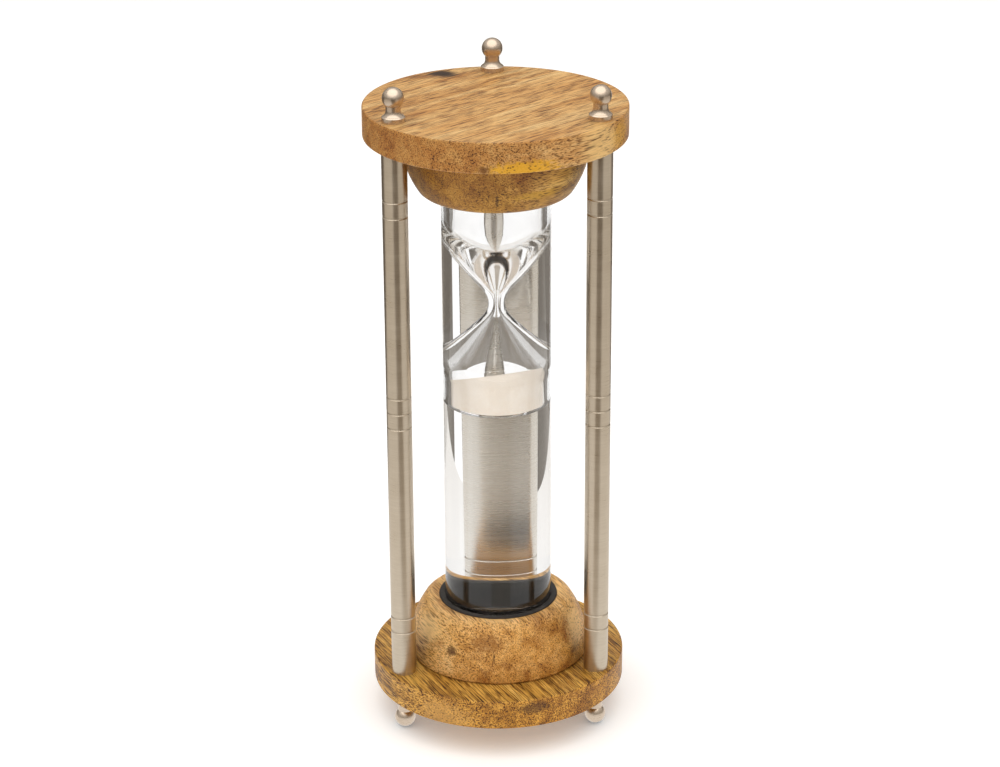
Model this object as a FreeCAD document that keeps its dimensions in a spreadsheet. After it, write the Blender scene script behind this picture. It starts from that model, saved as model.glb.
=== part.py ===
import FreeCAD, Part
import os

import Sketcher
from FreeCAD import Placement, Rotation, Vector

# A floating hourglass: a sealed glass timer that rides up and down in a liquid-filled
# glass tube. The tube stands between two turned wooden ends, and three tubular posts
# with threaded rods inside clamp the ends together. The finials and the feet are the
# same turned nut, so the whole thing can stand on either end.
#
# Millimetres. +Z is up, the origin is on the table under the middle of the object, and
# the rear post stands on +Y.

DIMENSIONS = [
    # wooden ends
    ("plate_radius", 50.8, "wooden plate, a four inch disc"),
    ("plate_thickness", 12.0, "wooden plate"),
    ("plate_edge_round", 0.7, "sanded rim of the plate"),
    ("column_circle_radius", 44.5, "circle on which the three columns stand"),
    ("rod_hole_radius", 2.3, "clearance hole for a tie rod"),
    ("cup_height", 23.0, "turned cup on each plate"),
    ("cup_base_radius", 36.5, "cup where it meets the plate"),
    ("cup_mouth_radius", 28.7, "cup mouth before its shoulder is rounded"),
    ("cup_side_radius", 37.8, "bulge of the cup's side, seen in section"),
    ("cup_shoulder_round", 5.0, "rounded shoulder at the mouth"),
    ("cup_foot_step", 0.8, "small step where the cup is glued to the plate"),
    ("socket_radius", 24.0, "bore of the cup"),
    ("socket_floor", 8.5, "bore floor above the plate"),
    # rubber parts
    ("sleeve_wall", 2.35, "rubber sleeve between the cup and the tube"),
    ("sleeve_gap", 0.05, "sleeve to cup, and sleeve to tube, radial"),
    ("sleeve_height", 15.1, "sleeve, standing a little proud of the cup"),
    ("sleeve_lip_round", 0.6, "rounded lip of the sleeve"),
    ("cushion_thickness", 2.0, "rubber disc under the end of the tube"),
    ("cushion_radius", 21.0, "rubber disc under the end of the tube"),
    ("stopper_height", 12.7, "rubber stopper in the upper end of the tube"),
    ("stopper_gap", 0.05, "stopper to tube, radial"),
    ("stopper_edge", 0.8, "bevel on the stopper's edges"),
    # glass tube
    ("tube_radius", 21.4, "outer glass tube"),
    ("tube_wall", 1.5, "outer glass tube"),
    ("tube_floor", 3.0, "closed lower end of the tube"),
    ("tube_corner_round", 1.5, "outer corner of the closed end"),
    # floating timer
    ("timer_radius", 19.3, "outside of the floating timer"),
    ("timer_wall", 1.3, "glass of the timer's chambers"),
    ("timer_floor", 1.2, "flat ends of the timer"),
    ("timer_half", 43.25, "waist to either end"),
    ("timer_corner_round", 1.6, "outer corner at either end"),
    ("timer_head_gap", 0.3, "timer to stopper when it floats at the top"),
    ("timer_foot_gap", 0.3, "timer to tube floor at the bottom of its travel"),
    ("waist_radius", 2.4, "outside of the neck"),
    ("waist_round", 10.0, "hollow of the neck, seen in section"),
    ("neck_bore_radius", 0.8, "hole that the sand runs through"),
    ("neck_bore_round", 11.6, "curve of the hole into the chamber"),
    ("shoulder_round", 14.0, "outside of the chamber's shoulder"),
    ("inner_shoulder_round", 12.7, "inside of the chamber's shoulder"),
    ("cone_lean", 35.0, "funnel wall, degrees from upright"),
    # sand and liquid
    ("sand_gap", 0.05, "sand to glass"),
    ("sand_level", 12.05, "middle of the sand's surface above the timer's end"),
    ("sand_lean", 20.96, "slope of the settled sand, degrees"),
    ("sand_lean_towards", -67.3, "direction in which the sand rises, degrees from +X"),
    ("liquid_gap", 0.05, "liquid to tube, floor and stopper"),
    ("liquid_film", 0.3, "space left round the timer"),
    # columns
    ("post_length", 218.0, "tubular post between the plates"),
    ("post_radius", 4.9, "tubular post"),
    ("post_bore_radius", 2.6, "tubular post"),
    ("groove_radius", 0.45, "half-round decorative groove"),
    ("groove_depth", 0.3, "decorative groove"),
    ("groove_near", 18.7, "first groove from either end of the post"),
    ("groove_far", 25.0, "second groove from either end of the post"),
    ("groove_middle", 113.3, "middle one of three grooves, above the lower plate"),
    ("groove_pitch", 6.34, "spacing of the three grooves"),
    ("rod_radius", 1.95, "threaded tie rod, M4"),
    ("rod_engagement", 6.5, "rod inside each finial and foot"),
    ("rod_chamfer", 0.4, "ends of the rod"),
    # finials and feet, one and the same turned nut
    ("knob_height", 13.0, "whole nut"),
    ("knob_flange_radius", 4.5, "flange against the plate"),
    ("knob_flange_height", 2.2, "flange against the plate"),
    ("knob_flange_bevel", 0.45, "bevel on top of the flange"),
    ("knob_flare_radius", 3.8, "foot of the concave flare"),
    ("knob_flare_height", 4.8, "top of the concave flare"),
    ("knob_flare_round", 3.2, "hollow of the flare"),
    ("knob_neck_radius", 2.85, "neck under the ball"),
    ("knob_ball_radius", 4.15, "ball"),
    ("knob_flat_radius", 1.0, "small flat where the nut was parted off"),
    ("knob_bore_radius", 2.0, "blind threaded hole, M4"),
    ("knob_bore_depth", 7.5, "blind threaded hole"),
]

COLUMNS = [("rear", 90), ("left", 210), ("right", 330)]  # degrees from +X


class Size:
    """A value together with the spreadsheet formula that it comes from."""

    def __init__(self, value, formula):
        self.value = value
        self.formula = formula

    def join(self, other, sign, value):
        return Size(value, f"({self.formula} {sign} {as_size(other).formula})")

    def __add__(self, other):
        return self.join(other, "+", self.value + as_size(other).value)

    def __sub__(self, other):
        return self.join(other, "-", self.value - as_size(other).value)

    def __mul__(self, other):
        return self.join(other, "*", self.value * as_size(other).value)

    def __truediv__(self, other):
        return self.join(other, "/", self.value / as_size(other).value)


def as_size(number):
    """Leaves a Size alone and turns a plain number into one."""
    if isinstance(number, Size):
        return number
    return Size(float(number), f"{number}")


def root(size):
    return Size(size.value ** 0.5, f"sqrt({size.formula})")


def turn(degrees):
    """The cosine and the sine of an angle."""
    angle = as_size(degrees)
    direction = Rotation(Vector(0, 0, 1), angle.value).multVec(Vector(1, 0, 0))
    return Size(direction.x, f"cos({angle.formula})"), Size(direction.y, f"sin({angle.formula})")


doc = FreeCAD.newDocument("floating_hourglass")
sheet = doc.addObject("Spreadsheet::Sheet", "Sizes")
for row, (alias, value, meaning) in enumerate(DIMENSIONS, start=1):
    sheet.set(f"A{row}", meaning)
    sheet.set(f"B{row}", str(value))
    sheet.setAlias(f"B{row}", alias)
doc.recompute()

size = {alias: Size(value, f"Sizes.{alias}") for alias, value, meaning in DIMENSIONS}

# Levels above the table.
zero = as_size(0)
base_bottom = size["knob_height"]
base_top = base_bottom + size["plate_thickness"]
top_bottom = base_top + size["post_length"]
top_top = top_bottom + size["plate_thickness"]
tube_bottom = base_top + size["socket_floor"] + size["cushion_thickness"]
tube_top = top_bottom - size["socket_floor"] - size["cushion_thickness"]
tube_inner_radius = size["tube_radius"] - size["tube_wall"]
liquid_bottom = tube_bottom + size["tube_floor"]
stopper_bottom = tube_top - size["stopper_height"]
timer_top = stopper_bottom - size["timer_head_gap"]
timer_bottom = timer_top - size["timer_half"] * 2

sub_parts = []


def place(thing, height, radius=None, angle=0):
    """Binds an object's place: a height, and for a column also a radius and an angle."""
    thing.setExpression("Placement.Base.z", height.formula)
    if radius is not None:
        along_x, along_y = turn(angle)
        thing.setExpression("Placement.Base.x", (radius * along_x).formula)
        thing.setExpression("Placement.Base.y", (radius * along_y).formula)


def keep(thing, label):
    """Marks an object as a sub-part; its label names its file."""
    thing.Label = label
    sub_parts.append(thing)
    return thing


def new_body(name):
    return doc.addObject("PartDesign::Body", name)


def sketch_on(body, plane, name):
    """A sketch on one of the body's own origin planes."""
    support = next(each for each in body.Origin.OriginFeatures if each.Role == plane)
    sketch = body.newObject("Sketcher::SketchObject", name)
    sketch.AttachmentSupport = [(support, "")]
    sketch.MapMode = "FlatFace"
    return sketch


def pin_point(sketch, curve, end, across, up, name):
    """Ties a point of a curve to the sketch's origin by two bound distances."""
    for kind, distance, axis in (("DistanceX", across, -2), ("DistanceY", up, -1)):
        if distance.value == 0:
            sketch.addConstraint(Sketcher.Constraint("PointOnObject", curve, end, axis))
            continue
        index = sketch.addConstraint(
            Sketcher.Constraint(kind, -1, 1, curve, end, distance.value))
        sketch.renameConstraint(index, f"{name}{kind[-1]}")
        sketch.setExpression(f"Constraints.{name}{kind[-1]}", distance.formula)


def bound_radius(sketch, curve, radius, name):
    index = sketch.addConstraint(Sketcher.Constraint("Radius", curve, radius.value))
    sketch.renameConstraint(index, name)
    sketch.setExpression(f"Constraints.{name}", radius.formula)


def arc_between(start, end, radius, centre_on_left):
    """The short arc from start to end, and whether it runs from its own first point."""
    chord = end - start
    middle = (start + end) * 0.5
    left = Vector(-chord.y, chord.x, 0).normalize()
    rise = (radius ** 2 - (chord.Length / 2) ** 2) ** 0.5
    centre = middle + left * (rise if centre_on_left else -rise)
    circle = Part.Circle(centre, Vector(0, 0, 1), radius)
    first, last = (start, end) if centre_on_left else (end, start)
    return Part.ArcOfCircle(circle, circle.parameter(first), circle.parameter(last))


def draw_outline(sketch, corners):
    """A closed outline. A corner is (across, up), and ends with a radius and a side,
    left or right of the way the outline runs, where an arc leads on to the next one."""
    corners = [tuple(as_size(part) if index < 3 else part for index, part in enumerate(corner))
               for corner in corners]
    ends = []
    for index, corner in enumerate(corners):
        follower = corners[(index + 1) % len(corners)]
        start = Vector(corner[0].value, corner[1].value, 0)
        end = Vector(follower[0].value, follower[1].value, 0)
        if len(corner) == 2:
            curve = sketch.addGeometry(Part.LineSegment(start, end), False)
            ends.append((curve, 1, 2))
            continue
        radius, side = corner[2:]
        curve = sketch.addGeometry(arc_between(start, end, radius.value, side == "left"), False)
        ends.append((curve, 1, 2) if side == "left" else (curve, 2, 1))
    for index, (curve, first, last) in enumerate(ends):
        next_curve, next_first, _ = ends[(index + 1) % len(ends)]
        sketch.addConstraint(Sketcher.Constraint("Coincident", curve, last, next_curve, next_first))
    for index, ((curve, first, _), corner) in enumerate(zip(ends, corners)):
        pin_point(sketch, curve, first, corner[0], corner[1], f"corner{index}")
        if len(corner) > 2:
            bound_radius(sketch, curve, corner[2], f"round{index}")


def draw_circle(sketch, radius, across=zero, up=zero, name="circle"):
    curve = sketch.addGeometry(
        Part.Circle(Vector(across.value, up.value, 0), Vector(0, 0, 1), radius.value), False)
    pin_point(sketch, curve, 3, across, up, name)
    bound_radius(sketch, curve, radius, f"{name}Radius")


def turned(body, corners, name="turning"):
    """Revolves an outline in the XZ plane about the body's Z axis."""
    sketch = sketch_on(body, "XZ_Plane", f"{name}_outline")
    draw_outline(sketch, corners)
    revolution = body.newObject("PartDesign::Revolution", name)
    revolution.Profile = sketch
    revolution.ReferenceAxis = (sketch, ["V_Axis"])
    revolution.Angle = 360
    doc.recompute()
    return revolution


def raised(body, draw, length, name):
    """Pads a sketch drawn on the body's XY plane."""
    sketch = sketch_on(body, "XY_Plane", f"{name}_outline")
    draw(sketch)
    pad = body.newObject("PartDesign::Pad", name)
    pad.Profile = sketch
    pad.Length = length.value
    pad.setExpression("Length", length.formula)
    doc.recompute()
    return pad


def edges_at(feature, radius, height):
    """The names of the round edges of that radius and height."""
    names = []
    for index, edge in enumerate(feature.Shape.Edges, start=1):
        curve = edge.Curve
        if not isinstance(curve, Part.Circle):
            continue
        if abs(curve.Radius - radius.value) < 1e-4 and abs(curve.Center.z - height.value) < 1e-4:
            names.append(f"Edge{index}")
    return names


def eased(body, feature, kind, circles, amount):
    """Fillets or chamfers round edges, given as (radius, height) in the body's own frame."""
    dressing = body.newObject(f"PartDesign::{kind}", kind.lower())
    names = [name for radius, height in circles for name in edges_at(feature, radius, height)]
    dressing.Base = (feature, names)
    value = "Radius" if kind == "Fillet" else "Size"
    setattr(dressing, value, amount.value)
    dressing.setExpression(value, amount.formula)
    doc.recompute()
    return dressing


def plate(label, height):
    """A wooden disc with three holes for the tie rods."""
    body = new_body(label)
    disc = raised(body, lambda sketch: draw_circle(sketch, size["plate_radius"]),
                  size["plate_thickness"], "disc")
    rims = [(size["plate_radius"], zero), (size["plate_radius"], size["plate_thickness"])]
    rounded = eased(body, disc, "Fillet", rims, size["plate_edge_round"])
    sketch = sketch_on(body, "XY_Plane", "rod_hole_outline")
    draw_circle(sketch, size["rod_hole_radius"], zero, size["column_circle_radius"])
    hole = body.newObject("PartDesign::Pocket", "rod_hole")
    hole.Profile = sketch
    hole.Type = "ThroughAll"
    hole.Reversed = True
    doc.recompute()
    pattern = body.newObject("PartDesign::PolarPattern", "rod_holes")
    pattern.Originals = [hole]
    pattern.Axis = (sketch, ["N_Axis"])
    pattern.Occurrences = len(COLUMNS)
    body.Tip = pattern
    place(body, height)
    doc.recompute()
    assert pattern.Shape.Volume < rounded.Shape.Volume
    return keep(body, label)


def cup(label, height, upside_down):
    """A turned wooden cup with a bore for the tube; its mouth faces the other cup."""
    body = new_body(label)
    step = size["cup_foot_step"]
    rim = size["cup_height"]
    turning = turned(body, [
        (0, 0),
        (size["cup_base_radius"] - step, 0),
        (size["cup_base_radius"] - step, step),
        (size["cup_base_radius"], step, size["cup_side_radius"], "left"),
        (size["cup_mouth_radius"], rim),
        (size["socket_radius"], rim),
        (size["socket_radius"], size["socket_floor"]),
        (0, size["socket_floor"]),
    ])
    eased(body, turning, "Fillet", [(size["cup_mouth_radius"], rim)], size["cup_shoulder_round"])
    if upside_down:
        body.Placement = Placement(Vector(), Rotation(Vector(1, 0, 0), 180))
    place(body, height)
    return keep(body, label)


def sleeve(label, height, upside_down):
    """A rubber sleeve that grips the tube in the cup's bore."""
    body = new_body(label)
    outer = size["socket_radius"] - size["sleeve_gap"]
    inner = size["tube_radius"] + size["sleeve_gap"] + size["sleeve_gap"]
    lip = size["sleeve_lip_round"]
    top = size["sleeve_height"]
    turned(body, [
        (inner, 0),
        (outer, 0),
        (outer, top - lip, lip, "left"),
        (outer - lip, top),
        (inner + lip, top, lip, "left"),
        (inner, top - lip),
    ])
    if upside_down:
        body.Placement = Placement(Vector(), Rotation(Vector(1, 0, 0), 180))
    place(body, height)
    return keep(body, label)


def cushion(label, height):
    """A rubber disc between the bore's floor and the end of the tube."""
    body = new_body(label)
    raised(body, lambda sketch: draw_circle(sketch, size["cushion_radius"]),
           size["cushion_thickness"], "disc")
    place(body, height)
    return keep(body, label)


def outer_tube():
    """The glass tube, closed at the bottom like a test tube with a flat end."""
    body = new_body("outer_tube")
    length = tube_top - tube_bottom
    corner = size["tube_corner_round"]
    turned(body, [
        (0, 0),
        (size["tube_radius"] - corner, 0, corner, "left"),
        (size["tube_radius"], corner),
        (size["tube_radius"], length),
        (tube_inner_radius, length),
        (tube_inner_radius, size["tube_floor"]),
        (0, size["tube_floor"]),
    ])
    place(body, tube_bottom)
    return keep(body, "outer_tube")


def tube_stopper():
    """The rubber stopper that seals the upper end of the tube."""
    body = new_body("tube_stopper")
    radius = tube_inner_radius - size["stopper_gap"]
    bevel = size["stopper_edge"]
    top = size["stopper_height"]
    turned(body, [
        (0, 0),
        (radius - bevel, 0),
        (radius, bevel),
        (radius, top - bevel),
        (radius - bevel, top),
        (0, top),
    ])
    place(body, stopper_bottom)
    return keep(body, "tube_stopper")


def funnel(waist, waist_round, wall, shoulder_round, lean, middle, above, inwards):
    """Corners from the wall to the neck and back to the wall, below the middle first
    and then above it, or the other way round. Each half is the chamber's rounded
    shoulder, a straight cone and the hollow of the neck, all tangent to each other."""
    cosine, sine = turn(lean)
    neck_across = waist + waist_round * (as_size(1) - cosine)
    neck_up = waist_round * sine
    shoulder_across = wall - shoulder_round * (as_size(1) - cosine)
    shoulder_up = neck_up + (shoulder_across - neck_across) * cosine / sine
    wall_up = shoulder_up + shoulder_round * sine
    first, second = (middle + wall_up, middle - wall_up) if above else (
        middle - wall_up, middle + wall_up)

    def level(rise, before):
        return middle + rise if above == before else middle - rise

    shoulder_side, neck_side = ("right", "left") if inwards else ("left", "right")
    return [
        (wall, first, shoulder_round, shoulder_side),
        (shoulder_across, level(shoulder_up, True)),
        (neck_across, level(neck_up, True), waist_round, neck_side),
        (neck_across, level(neck_up, False)),
        (shoulder_across, level(shoulder_up, False), shoulder_round, shoulder_side),
        (wall, second),
    ]


def timer_glass():
    """The sealed floating timer: two chambers joined by a narrow neck."""
    body = new_body("timer_glass")
    length = size["timer_half"] * 2
    corner = size["timer_corner_round"]
    outer = size["timer_radius"]
    inner = outer - size["timer_wall"]
    outside = funnel(size["waist_radius"], size["waist_round"], outer, size["shoulder_round"],
                     size["cone_lean"], size["timer_half"], above=False, inwards=False)
    inside = funnel(size["neck_bore_radius"], size["neck_bore_round"], inner,
                    size["inner_shoulder_round"], size["cone_lean"], size["timer_half"],
                    above=True, inwards=True)
    turned(body, [
        (0, 0),
        (outer - corner, 0, corner, "left"),
        (outer, corner),
        *outside,
        (outer, length - corner, corner, "left"),
        (outer - corner, length),
        (0, length),
        (0, length - size["timer_floor"]),
        (inner, length - size["timer_floor"]),
        *inside,
        (inner, size["timer_floor"]),
        (0, size["timer_floor"]),
    ])
    place(body, timer_bottom)
    return keep(body, "timer_glass")


def sand():
    """Fine sand in the lower chamber, settled on a slope."""
    chamber = new_body("sand_chamber")
    gap = size["sand_gap"]
    floor = size["timer_floor"] + gap
    wall = size["timer_radius"] - size["timer_wall"] - gap
    inside = funnel(size["neck_bore_radius"], size["neck_bore_round"], wall,
                    size["inner_shoulder_round"], size["cone_lean"], size["timer_half"],
                    above=False, inwards=False)
    turned(chamber, [
        (0, floor),
        (wall, floor),
        *inside[:3],
        (0, inside[2][1]),
    ])
    place(chamber, timer_bottom)
    cutter = doc.addObject("Part::Box", "air_over_sand")
    side = size["timer_half"] * 2
    for edge in ("Length", "Width", "Height"):
        cutter.setExpression(edge, side.formula)
    towards = Rotation(Vector(0, 0, 1), size["sand_lean_towards"].value)
    lean = Rotation(Vector(0, 1, 0), -size["sand_lean"].value)
    turning = towards * lean
    corner = turning.multVec(Vector(-side.value / 2, -side.value / 2, 0))
    level = timer_bottom + size["sand_level"]
    cutter.Placement = Placement(corner + Vector(0, 0, level.value), turning)
    settled = doc.addObject("Part::Cut", "sand")
    settled.Base = chamber
    settled.Tool = cutter
    doc.recompute()
    return keep(settled, "sand")


def liquid():
    """The clear liquid that fills the tube round the timer."""
    body = new_body("liquid")
    film = size["liquid_film"]
    gap = size["liquid_gap"]
    outer = tube_inner_radius - gap
    start = timer_bottom - liquid_bottom
    top = stopper_bottom - liquid_bottom - gap
    around = size["timer_radius"] + film
    corner = size["timer_corner_round"] + film
    outside = funnel(size["waist_radius"] + film, size["waist_round"] - film, around,
                     size["shoulder_round"] + film, size["cone_lean"],
                     start + size["timer_half"], above=True, inwards=True)
    turned(body, [
        (0, gap),
        (outer, gap),
        (outer, top),
        (around, top),
        *outside,
        (around, start - film + corner, corner, "right"),
        (around - corner, start - film),
        (0, start - film),
    ])
    place(body, liquid_bottom)
    return keep(body, "liquid")


def post(side, angle):
    """A bright metal tube with seven fine grooves round it."""
    body = new_body(f"{side}_post")
    length = size["post_length"]

    def ring(sketch):
        draw_circle(sketch, size["post_radius"], name="outside")
        draw_circle(sketch, size["post_bore_radius"], name="bore")

    tube = raised(body, ring, length, "tube")
    sketch = sketch_on(body, "XZ_Plane", "groove_outlines")
    across = size["post_radius"] + size["groove_radius"] - size["groove_depth"]
    levels = [size["groove_near"], size["groove_far"]]
    levels += [size["groove_middle"] + size["groove_pitch"] * step for step in (-1, 0, 1)]
    levels += [length - size["groove_far"], length - size["groove_near"]]
    for index, level in enumerate(levels):
        draw_circle(sketch, size["groove_radius"], across, level, name=f"groove{index}")
    grooves = body.newObject("PartDesign::Groove", "grooves")
    grooves.Profile = sketch
    grooves.ReferenceAxis = (sketch, ["V_Axis"])
    grooves.Angle = 360
    body.Tip = grooves
    place(body, base_top, size["column_circle_radius"], angle)
    doc.recompute()
    assert grooves.Shape.Volume < tube.Shape.Volume
    return keep(body, f"{side}_post")


def tie_rod(side, angle):
    """A threaded rod, without its thread, from the foot to the finial."""
    body = new_body(f"{side}_tie_rod")
    engagement = size["rod_engagement"]
    length = top_top - base_bottom + engagement * 2
    rod = raised(body, lambda sketch: draw_circle(sketch, size["rod_radius"]), length, "rod")
    ends = [(size["rod_radius"], zero), (size["rod_radius"], length)]
    eased(body, rod, "Chamfer", ends, size["rod_chamfer"])
    place(body, base_bottom - engagement, size["column_circle_radius"], angle)
    return keep(body, f"{side}_tie_rod")


def knob(label, height, angle, upside_down):
    """A turned nut with a flange, a neck and a ball: a finial, or upside down a foot."""
    body = new_body(label)
    ball = size["knob_ball_radius"]
    flat = size["knob_flat_radius"]
    neck = size["knob_neck_radius"]
    bevel = size["knob_flange_bevel"]
    centre = size["knob_height"] - root(ball * ball - flat * flat)
    under_ball = centre - root(ball * ball - neck * neck)
    turned(body, [
        (size["knob_bore_radius"], 0),
        (size["knob_flange_radius"], 0),
        (size["knob_flange_radius"], size["knob_flange_height"] - bevel),
        (size["knob_flange_radius"] - bevel, size["knob_flange_height"]),
        (size["knob_flare_radius"], size["knob_flange_height"], size["knob_flare_round"], "right"),
        (neck, size["knob_flare_height"]),
        (neck, under_ball, ball, "left"),
        (ball, centre, ball, "left"),
        (flat, size["knob_height"]),
        (0, size["knob_height"]),
        (0, size["knob_bore_depth"]),
        (size["knob_bore_radius"], size["knob_bore_depth"]),
    ])
    if upside_down:
        body.Placement = Placement(Vector(), Rotation(Vector(1, 0, 0), 180))
    place(body, height, size["column_circle_radius"], angle)
    return keep(body, label)


plate("base_plate", base_bottom)
plate("top_plate", top_bottom)
cup("lower_cup", base_top, upside_down=False)
cup("upper_cup", top_bottom, upside_down=True)
sleeve("lower_sleeve", base_top + size["socket_floor"], upside_down=False)
sleeve("upper_sleeve", top_bottom - size["socket_floor"], upside_down=True)
cushion("lower_cushion", base_top + size["socket_floor"])
cushion("upper_cushion", tube_top)
outer_tube()
tube_stopper()
liquid()
timer_glass()
sand()
for side, angle in COLUMNS:
    post(side, angle)
    tie_rod(side, angle)
    knob(f"{side}_finial", top_top, angle, upside_down=False)
    knob(f"{side}_foot", base_bottom, angle, upside_down=True)

doc.recompute()
for each in doc.Objects:
    if "Invalid" in each.State or "Error" in each.State:
        raise RuntimeError(f"{each.Name} is {each.State}")
for part in sub_parts:
    if part.Shape.isNull() or not part.Shape.isValid() or len(part.Shape.Solids) != 1:
        raise RuntimeError(f"{part.Label} is not one valid solid")

os.makedirs("parts", exist_ok=True)
for part in sub_parts:
    part.Shape.exportStep(f"parts/{part.Label}.step")
    box = part.Shape.BoundBox
    print(f"{part.Label}: z {box.ZMin:.2f} to {box.ZMax:.2f}, {part.Shape.Volume / 1000:.2f} cm3")
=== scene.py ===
import math
import bmesh
import bpy
from mathutils import Matrix, Vector, noise


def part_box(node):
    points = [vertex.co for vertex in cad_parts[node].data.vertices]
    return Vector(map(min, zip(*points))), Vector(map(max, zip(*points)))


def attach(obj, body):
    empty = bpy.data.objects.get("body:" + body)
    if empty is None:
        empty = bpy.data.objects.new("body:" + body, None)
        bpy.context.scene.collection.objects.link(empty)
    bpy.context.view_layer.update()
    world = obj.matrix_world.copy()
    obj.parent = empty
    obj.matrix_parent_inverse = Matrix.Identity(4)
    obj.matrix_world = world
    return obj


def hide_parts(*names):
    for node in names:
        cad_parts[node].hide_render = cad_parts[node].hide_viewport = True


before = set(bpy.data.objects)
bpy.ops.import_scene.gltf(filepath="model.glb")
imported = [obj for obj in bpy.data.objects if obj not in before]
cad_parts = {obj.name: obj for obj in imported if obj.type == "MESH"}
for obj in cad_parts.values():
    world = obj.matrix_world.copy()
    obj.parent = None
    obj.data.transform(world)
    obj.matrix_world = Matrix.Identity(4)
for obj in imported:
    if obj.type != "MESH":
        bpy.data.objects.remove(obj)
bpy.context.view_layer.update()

mm = 0.001
up = Vector((0, 0, 1))
weldGap = 0.002 * mm  # points closer than this are one point
columnAngles = {"rear": 90, "left": 210, "right": 330}  # degrees from +X
print("frame loaded,", len(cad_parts), "nodes")


def toLinear(hexColour):
    # sRGB hex to the linear values that a shader wants
    parts = [int(hexColour[i:i + 2], 16) / 255 for i in (1, 3, 5)]
    return (*[c / 12.92 if c <= 0.04045 else ((c + 0.055) / 1.055) ** 2.4 for c in parts], 1.0)


def addNode(tree, kind, settings=None, inputs=None):
    # one node with its settings and its links; a ramp takes its stops as (position, colour)
    node = tree.nodes.new("ShaderNode" + kind)
    for name, value in (settings or {}).items():
        if name == "stops":
            stops = node.color_ramp.elements
            while len(stops) < len(value):
                stops.new(1.0)
            for stop, (position, colour) in zip(stops, value):
                stop.position = position
                stop.color = toLinear(colour)
        else:
            setattr(node, name, value)
    for name, value in (inputs or {}).items():
        if isinstance(value, bpy.types.NodeSocket):
            tree.links.new(value, node.inputs[name])
        else:
            node.inputs[name].default_value = value
    return node


def newMaterial(name):
    material = bpy.data.materials.new(name)
    material.use_nodes = True
    material.node_tree.nodes.clear()
    return material, material.node_tree


def drawProfile(form, corners, fine=6.0):
    # a chain of edges in the XZ plane, in millimetres; a corner with a bend leads to the next
    # one by an arc of that radius, with its centre on the left where the bend is positive
    points = [Vector((corner[0], 0, corner[1])) * mm for corner in corners]
    tip = form.verts.new(points[0])
    first = tip
    for corner, start, end in zip(corners, points, points[1:]):
        bend = corner[2] * mm if len(corner) > 2 else 0
        if not bend:
            following = form.verts.new(end)
            form.edges.new((tip, following))
            tip = following
            continue
        chord = end - start
        left = Vector((-chord.z, 0, chord.x)).normalized()
        rise = math.sqrt(max(bend * bend - chord.length_squared / 4, 0))
        centre = (start + end) / 2 + left * math.copysign(rise, bend)
        sweep = (start - centre).angle(end - centre)
        steps = max(2, math.ceil(math.degrees(sweep) / fine))
        axis = (start - centre).cross(end - centre).normalized()
        made = bmesh.ops.spin(form, geom=[tip], cent=centre, axis=axis, angle=sweep, steps=steps,
                              use_merge=False, use_duplicate=False)
        tip = [item for item in made["geom_last"] if isinstance(item, bmesh.types.BMVert)][0]
        tip.co = end
    return first, tip


def turnProfile(form, corners, sides, fine=6.0, ring=False):
    # the profile goes once round the Z axis; a ring's outline is closed first
    had = set(form.verts)
    first, last = drawProfile(form, corners, fine)
    if ring:
        form.edges.new((last, first))
    fresh = [v for v in form.verts if v not in had]
    lines = [edge for edge in form.edges if edge.verts[0] not in had]
    bmesh.ops.spin(form, geom=fresh + lines, cent=(0, 0, 0), axis=up, angle=math.tau, steps=sides,
                   use_merge=True, use_duplicate=False)
    made = [v for v in form.verts if v not in had]
    bmesh.ops.remove_doubles(form, verts=made, dist=weldGap)
    faces = [face for face in form.faces if face.verts[0] not in had]
    bmesh.ops.recalc_face_normals(form, faces=faces)
    return faces


def finishPiece(name, form, body, nodes, materials, crease=32):
    # smooth faces with sharp edges where the surface turns a corner
    for face in form.faces:
        face.smooth = True
    for edge in form.edges:
        if len(edge.link_faces) == 2:
            edge.smooth = edge.calc_face_angle(0) < math.radians(crease)
    mesh = bpy.data.meshes.new(name)
    form.to_mesh(mesh)
    form.free()
    for material in materials:
        mesh.materials.append(material)
    piece = bpy.data.objects.new(name, mesh)
    bpy.context.scene.collection.objects.link(piece)
    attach(piece, body)
    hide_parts(*nodes)
    return piece


def columnPlace(side):
    angle = math.radians(columnAngles[side])
    return Vector((math.cos(angle), math.sin(angle), 0)) * columns["circle"] * mm


def bottomOf(node):
    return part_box(node)[0].z / mm


def topOf(node):
    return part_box(node)[1].z / mm


view = {
    "lens": 100.12,  # mm
    "sensor": 36,
    "nearest": 0.02,  # metres, nothing closer is drawn
    "away": 1.0148,  # metres from the hourglass's axis
    "height": 0.5584,
    "around": -91.5,  # degrees from +X, seen from above
    "down": 22.411,  # degrees below level
    "turn": 0.062,
    "roll": -0.321,
}


def placeCamera():
    data = bpy.data.cameras.new("camera")
    data.lens = view["lens"]
    data.sensor_width = view["sensor"]
    data.clip_start = view["nearest"]
    camera = bpy.data.objects.new("camera", data)
    around = math.radians(view["around"])
    camera.matrix_world = (
        Matrix.Translation((view["away"] * math.cos(around), view["away"] * math.sin(around),
                            view["height"]))
        @ Matrix.Rotation(around + math.pi / 2, 4, "Z")
        @ Matrix.Rotation(math.radians(90 - view["down"]), 4, "X")
        @ Matrix.Rotation(math.radians(-view["turn"]), 4, "Y")
        @ Matrix.Rotation(math.radians(view["roll"]), 4, "Z"))
    bpy.context.scene.collection.objects.link(camera)
    bpy.context.scene.camera = camera


placeCamera()
print("camera placed")


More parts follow.
